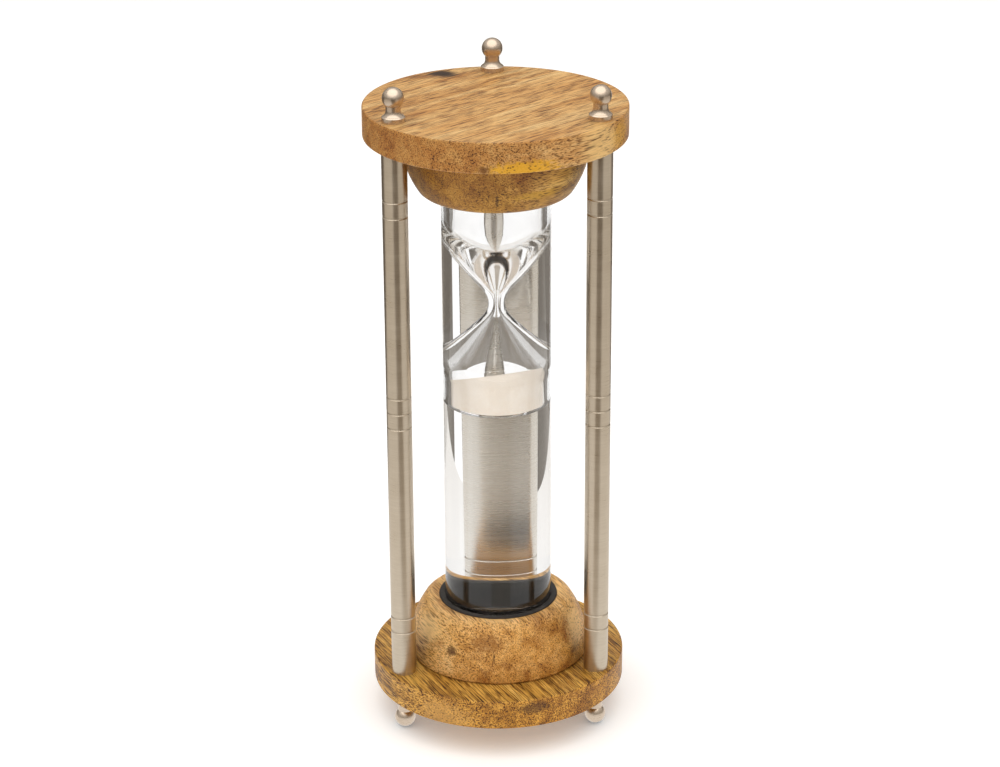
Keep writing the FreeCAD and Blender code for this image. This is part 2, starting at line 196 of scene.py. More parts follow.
studio = {
    "floorRadius": 4.0,  # metres
    "floorSides": 96,
    "floorTones": [(0.3, "#f6f5f4"), (0.7, "#fbfaf9")],
    "floorGlow": 0.22,  # lifts the paint to the paleness of the room behind
    "skyCamera": "#fcfbfa",
    "turn": -1.5,  # degrees, the table's edges run square to the camera
    "tableRear": 220,  # mm behind the axis; what lies further back is lower
    "tableSkew": 0.107,  # the rear edge runs a little further back on the right
    "tableLevel": -0.8,  # mm, the cards lie just under the floor
    "frontLevel": -0.5,
    "front": [(-10, -70), (-900, -2500), (1300, -2500), (30, -70)],  # mm, grey part of the table
    "reach": 2500,  # mm from the axis to the cards' outer edges
    "backdrop": 500,  # mm behind the axis
    "backdropFoot": -500,
    "whiteFrom": -205,  # the white part of the backdrop, mm to the left and right of the axis
    "whiteTo": 300,
    "whiteTop": 190,  # its upper edge; a grey room shows over it
    "roomTop": 420,
    "boxPower": 15.0,  # watts
    "boxSize": 2.4,  # metres
    "boxPlace": (-0.08, -0.3, 1.3),
    "boxAim": (0, 0, 0.14),
    "boxColour": (1.0, 0.985, 0.96),
    "ambient": 0.8,
    "skyTones": [(0.0, "#7d776f"), (0.1, "#a6a199"), (0.28, "#dedbd6"), (1.0, "#ffffff")],
    "bounces": 28,
    "clearBounces": 24,
    "shinyBounces": 8,
}
# each glow has its tones by distance, how far they reach in metres, and its strength
glows = {
    "table": ([(0.0, "#ffffff"), (0.3, "#fbf9f6"), (0.85, "#d9d3ca"), (1.0, "#d0c9bf")], 0.6, 1.03),
    "front": ([(0.1, "#efe9e1"), (0.3, "#b3a899"), (0.6, "#82776a"), (1.0, "#665b4f")], 0.8, 1.0),
    "white": ([(0, "#ffffff"), (1, "#ffffff")], 1.0, 1.12),
    "dark": ([(0, "#5e5851"), (1, "#6f6860")], 1.0, 1.0),
    "room": ([(0, "#8f8981"), (1, "#7f7971")], 1.5, 1.0),
}


def glowMaterial(name, glow):
    # white or grey card, evenly lit, that fades with the distance from the middle of the floor
    stops, reach, strength = glows[glow]
    material, tree = newMaterial(name)
    place = addNode(tree, "TexCoord")
    flat = addNode(tree, "VectorMath", {"operation": "MULTIPLY"},
                   {0: place.outputs["Object"], 1: (1 / reach, 1 / reach, 0)})
    far = addNode(tree, "VectorMath", {"operation": "LENGTH"}, {0: flat.outputs["Vector"]})
    shade = addNode(tree, "ValToRGB", {"stops": stops}, {0: far.outputs["Value"]})
    lit = addNode(tree, "Emission", {}, {"Color": shade.outputs["Color"], "Strength": strength})
    addNode(tree, "OutputMaterial", {}, {"Surface": lit.outputs["Emission"]})
    return material


def stageCard(name, corners, material):
    # corners in millimetres, in a frame that faces the camera; only glass and metal see a card
    form = bmesh.new()
    form.faces.new([form.verts.new(Vector(corner) * mm) for corner in corners])
    bmesh.ops.rotate(form, verts=form.verts[:], cent=(0, 0, 0),
                     matrix=Matrix.Rotation(math.radians(studio["turn"]), 3, "Z"))
    mesh = bpy.data.meshes.new(name)
    form.to_mesh(mesh)
    form.free()
    mesh.materials.append(material)
    card = bpy.data.objects.new(name, mesh)
    bpy.context.scene.collection.objects.link(card)
    card.visible_camera = False
    card.visible_diffuse = False
    card.visible_shadow = False
    return card


def standCard(name, left, right, low, high, material):
    # an upright card at the backdrop
    back = studio["backdrop"]
    stageCard(name, [(left, back, low), (right, back, low), (right, back, high),
                     (left, back, high)], material)


def layFloor():
    # painted board floor: matt white with a very faint mottle
    material, tree = newMaterial("painted_floor")
    place = addNode(tree, "TexCoord")
    mottle = addNode(tree, "TexNoise", {}, {"Vector": place.outputs["Object"], "Scale": 9.0})
    colour = addNode(tree, "ValToRGB", {"stops": studio["floorTones"]},
                     {0: mottle.outputs["Fac"]})
    paint = addNode(tree, "BsdfPrincipled", {}, {
        "Base Color": colour.outputs["Color"], "Roughness": 0.9, "Specular IOR Level": 0.1,
        "Emission Color": toLinear("#ffffff"), "Emission Strength": studio["floorGlow"]})
    addNode(tree, "OutputMaterial", {}, {"Surface": paint.outputs["BSDF"]})
    form = bmesh.new()
    bmesh.ops.create_circle(form, cap_ends=True, segments=studio["floorSides"],
                            radius=studio["floorRadius"])
    mesh = bpy.data.meshes.new("floor")
    form.to_mesh(mesh)
    form.free()
    mesh.materials.append(material)
    floor = bpy.data.objects.new("floor", mesh)
    bpy.context.scene.collection.objects.link(floor)
    floor.visible_glossy = False
    floor.visible_transmission = False


def placeCards():
    # what the metal and the glass see of the table: white behind, and greyer far out in front
    rear, reach = studio["tableRear"], studio["reach"]
    left, right, top = studio["whiteFrom"], studio["whiteTo"], studio["whiteTop"]
    foot, low = studio["backdropFoot"], studio["tableLevel"]
    skew = studio["tableSkew"] * reach
    stageCard("table_glow", [(-reach, -reach, low), (reach, -reach, low),
                             (reach, rear + skew, low), (-reach, rear - skew, low)],
              glowMaterial("table_glow", "table"))
    stageCard("front_glow", [(*corner, studio["frontLevel"]) for corner in studio["front"]],
              glowMaterial("front_glow", "front"))
    standCard("backdrop_white", left, right, foot, top, glowMaterial("backdrop_white", "white"))
    dark = glowMaterial("side_dark", "dark")
    standCard("side_left", -reach, left, foot, top, dark)
    standCard("side_right", right, reach, foot, top, dark)
    standCard("room_grey", -reach, reach, top, studio["roomTop"],
              glowMaterial("room_grey", "room"))


def hangSoftBox():
    lamp = bpy.data.lights.new("soft_box", "AREA")
    lamp.shape = "DISK"
    lamp.size = studio["boxSize"]
    lamp.energy = studio["boxPower"]
    lamp.color = studio["boxColour"]
    box = bpy.data.objects.new("soft_box", lamp)
    box.location = studio["boxPlace"]
    aim = Vector(studio["boxAim"]) - box.location
    box.rotation_euler = aim.to_track_quat("-Z", "Y").to_euler()
    bpy.context.scene.collection.objects.link(box)


def paintRoom():
    # the room: pale to the camera, and a bright ceiling over a greyer horizon to the rest
    world = bpy.data.worlds.new("studio")
    bpy.context.scene.world = world
    world.use_nodes = True
    tree = world.node_tree
    tree.nodes.clear()
    place = addNode(tree, "TexCoord")
    split = addNode(tree, "SeparateXYZ", {}, {0: place.outputs["Generated"]})
    shade = addNode(tree, "ValToRGB", {"stops": studio["skyTones"]}, {0: split.outputs["Z"]})
    rays = addNode(tree, "LightPath")
    seen = addNode(tree, "Mix", {"data_type": "RGBA"}, {
        0: rays.outputs["Is Camera Ray"], 6: shade.outputs["Color"],
        7: toLinear(studio["skyCamera"])})
    power = addNode(tree, "MapRange", {}, {0: rays.outputs["Is Camera Ray"],
                                           3: studio["ambient"], 4: 1.0})
    glow = addNode(tree, "Background", {}, {"Color": seen.outputs[2],
                                            "Strength": power.outputs["Result"]})
    addNode(tree, "OutputWorld", {}, {"Surface": glow.outputs["Background"]})


def buildStudio():
    layFloor()
    placeCards()
    hangSoftBox()
    paintRoom()
    scene = bpy.context.scene
    scene.view_settings.view_transform = "Standard"
    scene.cycles.max_bounces = studio["bounces"]
    scene.cycles.transmission_bounces = studio["clearBounces"]
    scene.cycles.transparent_max_bounces = studio["clearBounces"]
    scene.cycles.glossy_bounces = studio["shinyBounces"]
    scene.cycles.caustics_reflective = False


buildStudio()
print("studio built")


woodLooks = {
    # grain is the azimuth of the fibres, the stops run from dark to pale wood, heart and ends
    # darken clouds and end grain; a mark is (x, y, z, reach, colour, strength) in mm, most marks
    # are knots and stains, a few pale ones are painted light
    "topPlate": {
        "grain": 42, "seed": 3.1,
        "stops": ["#a87436", "#cf9a58", "#ddb070", "#eac78c"],
        "heart": "#dcc5a0", "ends": "#e0caa0", "veins": 0.2,
        "marks": [(-19.5, 40, 254.5, (7, 5.5, 9), "#35200f", 1.0),
                  (-26, 36, 254.5, (9, 3, 6), "#7a4d27", 0.5),
                  (9, -49, 244.6, (17, 7, 3.4), "#e0a51c", 0.8),
                  (45.5, -22, 249, (6, 12, 6), "#cf9a2a", 0.5),
                  # painted light: a pale patch on the right of the rim, where more light falls
                  (38, -33, 249, (11, 11, 9), "#ecc47e", 0.55),
                  (-5.6, -50.5, 244.6, (2.6, 3, 1.8), "#6b3f1c", 0.8)],
    },
    "upperCup": {
        "grain": 42, "seed": 7.7,
        "stops": ["#936b28", "#bd8e3e", "#d4a552", "#e2b96a"],
        "heart": "#bb9c70", "ends": "#dcc794", "veins": 0.25,
        "marks": [(15, -29, 228, (13, 9, 2.2), "#c9992f", 0.6),
                  (-0.4, -33, 226.5, (0.8, 3, 3.2), "#3f2512", 0.7)],
    },
    "basePlate": {
        "grain": -65, "seed": 12.4,
        "stops": ["#8a621f", "#c28e3a", "#e0ad52", "#eec26c"],
        "heart": "#a98658", "ends": "#fff0c8", "veins": 0.9,
        "marks": [(13, -49.5, 21.5, (8, 5, 3), "#4a2c15", 0.65),
                  (-24, -45, 17, (19, 8, 7), "#eab665", 0.4)],
    },
    "lowerCup": {
        "grain": -65, "seed": 21.9,
        "stops": ["#b37c36", "#dfab60", "#f3c47f", "#fbd79b"],
        "heart": "#ad8a5e", "ends": "#f0deb6", "veins": 0.25,
        "marks": [(-19.1, -28.1, 36.3, (3.0, 3.4, 2.4), "#54310f", 0.85),
                  (28.7, -18.3, 31.8, (2.8, 3.4, 2.4), "#5c3719", 0.85),
                  (-5.9, -33.5, 41.5, (9, 6, 4.5), "#87521f", 0.6),
                  (-2.7, -33.9, 36, (0.6, 3, 3), "#4a2d15", 0.6),
                  (-6, -33.3, 29.5, (0.6, 3, 3), "#4a2d15", 0.6),
                  # painted sheen: pale patches on the left and right shoulders stand in for the
                  # satin highlights there
                  (-29, -17, 41, (7, 10, 6), "#fbd08c", 0.6),
                  (31, -13, 40, (7, 10, 9), "#f7c984", 0.75)],
    },
}
woodGrain = {
    # millimetres across and along the fibres
    "figureAcross": 6.5, "figureAlong": 70.0,  # slow change of tone between growth zones
    "streakAcross": 1.1, "streakAlong": 26.0,
    "fibreAcross": 0.36, "fibreAlong": 9.0,  # real fibres are ten times finer
    "poreAcross": 0.85, "poreAlong": 8.0,  # mean spacing of the open pores
    "poreWidth": 0.3,  # of that spacing
    "veinAcross": 0.5, "veinAlong": 24.0,  # long dark lines between growth rings
    "patchAcross": 13.0, "patchAlong": 23.4,  # darker heartwood clouds
    "streakShare": 0.32,  # of the tone, the rest is figure
    "toneAt": (0.3, 0.44, 0.56, 0.7),  # where the four tones stand
    "fibreTone": "#806038", "fibreShare": 0.85,
    "veinTone": "#6b4a1e", "poreTone": "#563618",
    "markRagged": 1.5,  # how far the streaks tear a mark's edge
    "relief": 0.08,  # mm
}


def mangoWood(name, look):
    # mango wood, turned, sanded and waxed: golden tan with open pores that show as short dark
    # dashes along the grain and as dots on end grain, under a soft satin sheen
    material, tree = newMaterial(name)
    place = addNode(tree, "TexCoord")
    along = addNode(tree, "Mapping", {}, {"Vector": place.outputs["Object"],
                                          "Rotation": (0, 0, math.radians(-look["grain"])),
                                          "Location": (look["seed"], look["seed"] * 0.7, 0)})

    def stretched(lengthwise, across):
        # texture space in which one unit is that many millimetres
        return addNode(tree, "VectorMath", {"operation": "MULTIPLY"}, {
            0: along.outputs["Vector"],
            1: (1 / (lengthwise * mm), 1 / (across * mm), 1 / (across * mm))}).outputs["Vector"]

    figure = addNode(tree, "TexNoise", {}, {
        "Vector": stretched(woodGrain["figureAlong"], woodGrain["figureAcross"]),
        "Scale": 1.0, "Detail": 4.0, "Roughness": 0.55, "Distortion": 0.7})
    streak = addNode(tree, "TexNoise", {}, {
        "Vector": stretched(woodGrain["streakAlong"], woodGrain["streakAcross"]),
        "Scale": 1.0, "Detail": 3.0, "Roughness": 0.6, "Distortion": 0.3})
    fibre = addNode(tree, "TexNoise", {}, {
        "Vector": stretched(woodGrain["fibreAlong"], woodGrain["fibreAcross"]),
        "Scale": 1.0, "Detail": 2.0, "Roughness": 0.6})
    tone = addNode(tree, "Mix", {}, {
        0: woodGrain["streakShare"], 2: figure.outputs["Fac"], 3: streak.outputs["Fac"]})
    colour = addNode(tree, "ValToRGB", {"stops": list(zip(woodGrain["toneAt"], look["stops"]))},
                     {0: tone.outputs[0]})
    veil = addNode(tree, "ValToRGB",
                   {"stops": [(0.37, woodGrain["fibreTone"]), (0.5, "#ffffff")]},
                   {0: fibre.outputs["Fac"]})
    grained = addNode(tree, "Mix", {"data_type": "RGBA", "blend_type": "MULTIPLY"}, {
        0: woodGrain["fibreShare"], 6: colour.outputs["Color"], 7: veil.outputs["Color"]})
    vein = addNode(tree, "TexNoise", {}, {
        "Vector": stretched(woodGrain["veinAlong"], woodGrain["veinAcross"]),
        "Scale": 1.0, "Detail": 1.0, "Distortion": 0.2})
    lined = addNode(tree, "MapRange", {"interpolation_type": "SMOOTHSTEP"}, {
        0: vein.outputs["Fac"], 1: 0.38, 2: 0.46, 3: look["veins"], 4: 0.0})
    veined = addNode(tree, "Mix", {"data_type": "RGBA", "blend_type": "MULTIPLY"},
                     {0: lined.outputs[0], 6: grained.outputs[2],
                      7: toLinear(woodGrain["veinTone"])})
    cloud = addNode(tree, "TexNoise", {}, {
        "Vector": stretched(woodGrain["patchAlong"], woodGrain["patchAcross"]),
        "Scale": 1.0, "Detail": 5.0, "Roughness": 0.6, "Distortion": 0.3})
    shadow = addNode(tree, "ValToRGB", {"stops": [(0.5, "#ffffff"), (0.74, look["heart"])]},
                     {0: cloud.outputs["Fac"]})
    clouded = addNode(tree, "Mix", {"data_type": "RGBA", "blend_type": "MULTIPLY"},
                      {0: 1.0, 6: veined.outputs[2], 7: shadow.outputs["Color"]})
    # end grain drinks more finish, so faces that cut the fibres are darker
    grain = math.radians(look["grain"])
    facing = addNode(tree, "VectorMath", {"operation": "DOT_PRODUCT"}, {
        0: place.outputs["Normal"], 1: (math.cos(grain), math.sin(grain), 0)})
    cutAcross = addNode(tree, "Math", {"operation": "ABSOLUTE"}, {0: facing.outputs["Value"]})
    ends = addNode(tree, "Mix", {"data_type": "RGBA", "blend_type": "MULTIPLY"},
                   {0: cutAcross.outputs[0], 6: clouded.outputs[2], 7: toLinear(look["ends"])})
    shown = ends.outputs[2]
    # knots, stains and pale zones, some of the pale ones painted light and painted sheen, with
    # edges that the streaks tear
    ragged = addNode(tree, "Math", {"operation": "MULTIPLY_ADD"}, {
        0: streak.outputs["Fac"], 1: woodGrain["markRagged"], 2: -woodGrain["markRagged"] / 2})
    for x, y, z, reach, hexColour, strength in look["marks"]:
        away = addNode(tree, "VectorMath", {"operation": "SUBTRACT"},
                       {0: place.outputs["Object"], 1: (x * mm, y * mm, z * mm)})
        scaled = addNode(tree, "VectorMath", {"operation": "MULTIPLY"},
                         {0: away.outputs["Vector"], 1: tuple(1 / (r * mm) for r in reach)})
        far = addNode(tree, "VectorMath", {"operation": "LENGTH"}, {0: scaled.outputs["Vector"]})
        rough = addNode(tree, "Math", {"operation": "ADD"},
                        {0: far.outputs["Value"], 1: ragged.outputs[0]})
        mask = addNode(tree, "MapRange", {"interpolation_type": "SMOOTHSTEP"},
                       {0: rough.outputs[0], 1: 0.45, 2: 1.1, 3: strength, 4: 0.0})
        stainAndPaintedLight = addNode(tree, "Mix", {"data_type": "RGBA"},
                        {0: mask.outputs[0], 6: shown, 7: toLinear(hexColour)})
        shown = stainAndPaintedLight.outputs[2]
    cells = addNode(tree, "TexVoronoi", {"feature": "F1"}, {
        "Vector": stretched(woodGrain["poreAlong"], woodGrain["poreAcross"]),
        "Scale": 1.0, "Randomness": 1.0})
    pores = addNode(tree, "MapRange", {"interpolation_type": "SMOOTHSTEP"}, {
        0: cells.outputs["Distance"], 1: woodGrain["poreWidth"] * 0.55,
        2: woodGrain["poreWidth"] * 1.35, 3: 1.0, 4: 0.0})
    zones = addNode(tree, "MapRange", {}, {0: figure.outputs["Fac"], 1: 0.35, 2: 0.62, 3: 1.0,
                                           4: 0.35})
    opened = addNode(tree, "Math", {"operation": "MULTIPLY"},
                     {0: pores.outputs[0], 1: zones.outputs[0]})
    porous = addNode(tree, "Mix", {"data_type": "RGBA", "blend_type": "MULTIPLY"},
                     {0: opened.outputs[0], 6: shown, 7: toLinear(woodGrain["poreTone"])})
    height = addNode(tree, "Math", {"operation": "MULTIPLY_ADD"},
                     {0: opened.outputs[0], 1: -1.0, 2: fibre.outputs["Fac"]})
    relief = addNode(tree, "Bump", {}, {"Strength": 0.35, "Distance": woodGrain["relief"] * mm,
                                        "Height": height.outputs[0]})
    gloss = addNode(tree, "MapRange", {}, {0: streak.outputs["Fac"], 1: 0.3, 2: 0.7, 3: 0.42,
                                           4: 0.56})
    wood = addNode(tree, "BsdfPrincipled", {}, {
        "Base Color": porous.outputs[2], "Roughness": gloss.outputs[0],
        "Specular IOR Level": 0.3, "Coat Weight": 0.06, "Coat Roughness": 0.3,
        "Normal": relief.outputs["Normal"]})
    addNode(tree, "OutputMaterial", {}, {"Surface": wood.outputs["BSDF"]})
    return material


def brightMetal(name, look):
    # turned metal: fine lines run round it, and blur its reflections lengthwise
    material, tree = newMaterial(name)
    place = addNode(tree, "TexCoord")
    lines = addNode(tree, "VectorMath", {"operation": "MULTIPLY"}, {
        0: place.outputs["Object"], 1: tuple(1 / (s * mm) for s in look["lines"])})
    fine = addNode(tree, "TexNoise", {}, {"Vector": lines.outputs["Vector"], "Scale": 1.0,
                                          "Detail": 3.0, "Roughness": 0.6})
    cloud = addNode(tree, "TexNoise", {}, {"Vector": place.outputs["Object"],
                                           "Scale": 1 / (look["cloud"] * mm), "Detail": 2.0})
    mixed = addNode(tree, "Mix", {}, {0: 0.5, 2: fine.outputs["Fac"], 3: cloud.outputs["Fac"]})
    colour = addNode(tree, "ValToRGB", {"stops": [(0.3, look["dark"]), (0.7, look["light"])]},
                     {0: mixed.outputs[0]})
    blur = addNode(tree, "MapRange", {}, {0: mixed.outputs[0], 1: 0.3, 2: 0.7,
                                          3: look["rough"][0], 4: look["rough"][1]})
    relief = addNode(tree, "Bump", {}, {"Strength": look["relief"], "Distance": 0.01 * mm,
                                        "Height": fine.outputs["Fac"]})
    metal = addNode(tree, "BsdfPrincipled", {}, {
        "Base Color": colour.outputs["Color"], "Metallic": 1.0, "Roughness": blur.outputs[0],
        "Anisotropic": look["brush"], "Anisotropic Rotation": 0.25,
        "Normal": relief.outputs["Normal"]})
    addNode(tree, "OutputMaterial", {}, {"Surface": metal.outputs["BSDF"]})
    return material


metalLooks = {
    # satin nickel on turned tube: warm grey, polished round it on the lathe
    "post": {"lines": (6, 6, 0.45), "cloud": 9, "dark": "#c6b8a4", "light": "#d9ccb9",
             "rough": (0.26, 0.36), "relief": 0.05, "brush": 0.7},
    # the rear post's plating came out a little paler
    "rearPost": {"lines": (6, 6, 0.45), "cloud": 9, "dark": "#dcd7ce", "light": "#eeeae3",
                 "rough": (0.24, 0.32), "relief": 0.05, "brush": 0.6},
    # nickel on turned nuts: the cutter's rings run round them, and the polish is brighter
    "nut": {"lines": (6, 6, 0.35), "cloud": 4, "dark": "#c9b6a1", "light": "#dccab7",
            "rough": (0.24, 0.32), "relief": 0.1, "brush": 0.5},
    # zinc plated rods inside the posts: bluish and duller
    "rod": {"lines": (5, 5, 0.7), "cloud": 3, "dark": "#9ea3a6", "light": "#bcc0c2",
            "rough": (0.35, 0.5), "relief": 0.4, "brush": 0.2},
}


rubberLook = {
    "skin": 0.5, "dust": 6,  # mm
    "tones": [(0.4, "#1c1713"), (0.7, "#2f2820")], "rough": (0.45, 0.7), "relief": 0.05,
}


def softRubber(name):
    # moulded black rubber: nearly black, with a fine matt skin and a little dust
    material, tree = newMaterial(name)
    place = addNode(tree, "TexCoord")
    skin = addNode(tree, "TexNoise", {}, {"Vector": place.outputs["Object"],
                                          "Scale": 1 / (rubberLook["skin"] * mm),
                                          "Detail": 3.0})
    dust = addNode(tree, "TexNoise", {}, {"Vector": place.outputs["Object"],
                                          "Scale": 1 / (rubberLook["dust"] * mm),
                                          "Detail": 4.0})
    colour = addNode(tree, "ValToRGB", {"stops": rubberLook["tones"]},
                     {0: dust.outputs["Fac"]})
    blur = addNode(tree, "MapRange", {}, {
        0: skin.outputs["Fac"], 3: rubberLook["rough"][0], 4: rubberLook["rough"][1]})
    relief = addNode(tree, "Bump", {}, {"Strength": 0.3, "Distance": rubberLook["relief"] * mm,
                                        "Height": skin.outputs["Fac"]})
    rubber = addNode(tree, "BsdfPrincipled", {}, {
        "Base Color": colour.outputs["Color"], "Roughness": blur.outputs[0],
        "Normal": relief.outputs["Normal"]})
    addNode(tree, "OutputMaterial", {}, {"Surface": rubber.outputs["BSDF"]})
    return material


glassLooks = {
    # mm between ripples across, across and along; the faint tint follows them
    "tube": {"ripple": (3, 3, 60), "relief": 0.03, "tint": "#fdfdfd"},
    "timer": {"ripple": (4, 4, 20), "relief": 0.03, "tint": "#fdfdfd"},
}
glassIor = 1.5
waterIor = 1.33
rippleHeight = 0.02  # mm


def clearGlass(name, ior, look):
    # drawn borosilicate: clear, hardly tinted, with faint lengthwise ripples from the drawing;
    # lamps shine straight through, so the sand inside is lit as it would be
    material, tree = newMaterial(name)
    place = addNode(tree, "TexCoord")
    drawn = addNode(tree, "VectorMath", {"operation": "MULTIPLY"}, {
        0: place.outputs["Object"], 1: tuple(1 / (s * mm) for s in look["ripple"])})
    wave = addNode(tree, "TexNoise", {}, {"Vector": drawn.outputs["Vector"], "Scale": 1.0,
                                          "Detail": 1.0})
    relief = addNode(tree, "Bump", {}, {"Strength": look["relief"], "Distance": rippleHeight * mm,
                                        "Height": wave.outputs["Fac"]})
    tint = addNode(tree, "ValToRGB", {"stops": [(0.3, look["tint"]), (0.7, "#ffffff")]},
                   {0: wave.outputs["Fac"]})
    glass = addNode(tree, "BsdfPrincipled", {}, {
        "Base Color": tint.outputs["Color"], "Roughness": 0.0, "IOR": ior,
        "Transmission Weight": 1.0, "Normal": relief.outputs["Normal"]})
    straight = addNode(tree, "BsdfTransparent", {}, {"Color": toLinear("#ffffff")})
    rays = addNode(tree, "LightPath")
    either = addNode(tree, "Math", {"operation": "MAXIMUM"}, {
        0: rays.outputs["Is Shadow Ray"], 1: rays.outputs["Is Diffuse Ray"]})
    mixed = addNode(tree, "MixShader", {}, {0: either.outputs[0], 1: glass.outputs["BSDF"],
                                            2: straight.outputs["BSDF"]})
    addNode(tree, "OutputMaterial", {}, {"Surface": mixed.outputs["Shader"]})
    return material


liquidLook = {"cloud": 14, "haze": 0.012, "tint": "#f2f4f2", "rough": 0.05}  # cloud in mm


def clearLiquid(name):
    # clear mineral liquid that fills the tube to the glass: the glass's inner faces already
    # bend the light by the right amount, so this only adds a trace of haze
    material, tree = newMaterial(name)
    place = addNode(tree, "TexCoord")
    haze = addNode(tree, "TexNoise", {}, {"Vector": place.outputs["Object"],
                                          "Scale": 1 / (liquidLook["cloud"] * mm),
                                          "Detail": 2.0})
    amount = addNode(tree, "MapRange", {}, {0: haze.outputs["Fac"], 1: 0.3, 2: 0.7, 3: 0.0,
                                            4: liquidLook["haze"]})
    body = addNode(tree, "BsdfPrincipled", {}, {
        "Base Color": toLinear(liquidLook["tint"]), "Roughness": liquidLook["rough"],
        "IOR": waterIor, "Transmission Weight": 1.0})
    straight = addNode(tree, "BsdfTransparent", {}, {"Color": toLinear("#ffffff")})
    mixed = addNode(tree, "MixShader", {}, {0: amount.outputs[0], 1: straight.outputs["BSDF"],
                                            2: body.outputs["BSDF"]})
    addNode(tree, "OutputMaterial", {}, {"Surface": mixed.outputs["Shader"]})
    return material


sandLook = {
    "grain": 0.45,  # mm, drawn twice as coarse as it is
    "cloud": 7, "bits": 4.5,  # mm
    "tones": [(0.25, "#f1e4d4"), (0.5, "#f5eadc"), (0.75, "#faf2e8")], "bitTone": "#8a6a54",
    "relief": 0.15,
}


def fineSand(name):
    # washed quartz sand, grains about 0.2 mm: cream, matt, with a few darker specks
    material, tree = newMaterial(name)
    place = addNode(tree, "TexCoord")
    grains = addNode(tree, "TexVoronoi", {"feature": "F1"}, {
        "Vector": place.outputs["Object"], "Scale": 1 / (sandLook["grain"] * mm)})
    cloud = addNode(tree, "TexNoise", {}, {"Vector": place.outputs["Object"],
                                           "Scale": 1 / (sandLook["cloud"] * mm),
                                           "Detail": 3.0})
    tone = addNode(tree, "Mix", {}, {0: 0.5, 2: grains.outputs["Distance"],
                                     3: cloud.outputs["Fac"]})
    colour = addNode(tree, "ValToRGB", {"stops": sandLook["tones"]}, {0: tone.outputs[0]})
    bits = addNode(tree, "TexVoronoi", {"feature": "F1"}, {
        "Vector": place.outputs["Object"], "Scale": 1 / (sandLook["bits"] * mm)})
    speck = addNode(tree, "MapRange", {}, {0: bits.outputs["Distance"], 1: 0.035, 2: 0.06,
                                           3: 0.75, 4: 0.0})
    specked = addNode(tree, "Mix", {"data_type": "RGBA"}, {
        0: speck.outputs[0], 6: colour.outputs["Color"], 7: toLinear(sandLook["bitTone"])})
    relief = addNode(tree, "Bump", {}, {"Strength": 0.5, "Distance": sandLook["relief"] * mm,
                                        "Height": grains.outputs["Distance"]})
    heap = addNode(tree, "BsdfPrincipled", {}, {
        "Base Color": specked.outputs[2], "Roughness": 0.92, "Specular IOR Level": 0.2,
        "Normal": relief.outputs["Normal"]})
    addNode(tree, "OutputMaterial", {}, {"Surface": heap.outputs["BSDF"]})
    return material


woods = {key: mangoWood("mango_" + key, look) for key, look in woodLooks.items()}
postNickel = brightMetal("satin_nickel_tube", metalLooks["post"])
rearNickel = brightMetal("pale_nickel_tube", metalLooks["rearPost"])
nutNickel = brightMetal("turned_nickel", metalLooks["nut"])
zincSteel = brightMetal("zinc_steel", metalLooks["rod"])
blackRubber = softRubber("black_rubber")
tubeOutside = clearGlass("tube_glass_outside", glassIor, glassLooks["tube"])
tubeInside = clearGlass("tube_glass_to_liquid", glassIor / waterIor, glassLooks["tube"])
timerOutside = clearGlass("timer_glass_to_liquid", glassIor / waterIor, glassLooks["timer"])
timerInside = clearGlass("timer_glass_inside", glassIor, glassLooks["timer"])
liquidFill = clearLiquid("clear_liquid")
creamSand = fineSand("quartz_sand")
print("materials made")


plates = {
    "radius": 50.8, "edgeRound": 0.7, "roundSteps": 5,
    "holeRadius": 2.3, "sides": 192, "holeSides": 32, "crease": 8,
}
columns = {"circle": 44.5}


def makePlate(name, node, wood):
    bottom, top = bottomOf(node) * mm, topOf(node) * mm
    form = bmesh.new()
    bmesh.ops.create_circle(form, segments=plates["sides"], radius=plates["radius"] * mm,
                            matrix=Matrix.Translation((0, 0, bottom)))
    for side in columnAngles:
        place = columnPlace(side) + Vector((0, 0, bottom))
        bmesh.ops.create_circle(form, segments=plates["holeSides"],
                                radius=plates["holeRadius"] * mm,
                                matrix=Matrix.Translation(place))
    bmesh.ops.triangle_fill(form, edges=form.edges[:], use_beauty=True)
    made = bmesh.ops.extrude_face_region(form, geom=form.faces[:], use_keep_orig=True)
    lifted = [item for item in made["geom"] if isinstance(item, bmesh.types.BMVert)]
    bmesh.ops.translate(form, verts=lifted, vec=(0, 0, top - bottom))
    bmesh.ops.recalc_face_normals(form, faces=form.faces[:])
    outside = plates["radius"] * mm - 10 * weldGap
    rims = [edge for edge in form.edges
            if all(v.co.xy.length > outside for v in edge.verts)
            and abs(edge.verts[0].co.z - edge.verts[1].co.z) < weldGap]
    bmesh.ops.bevel(form, geom=rims, affect="EDGES", offset=plates["edgeRound"] * mm,
                    segments=plates["roundSteps"], profile=0.5, material=-1)
    return finishPiece(name, form, "stand", [node], [wood],
                       crease=plates["crease"])


makePlate("base_plate_wood", "base_plate", woods["basePlate"])
makePlate("top_plate_wood", "top_plate", woods["topPlate"])
print("plates made")


cups = {
    "baseRadius": 36.5, "step": 0.8, "sideRadius": 37.8, "mouthRadius": 28.7,
    "shoulder": 5.0, "height": 23.0, "boreRadius": 24.0, "boreFloor": 8.5, "sides": 160,
}


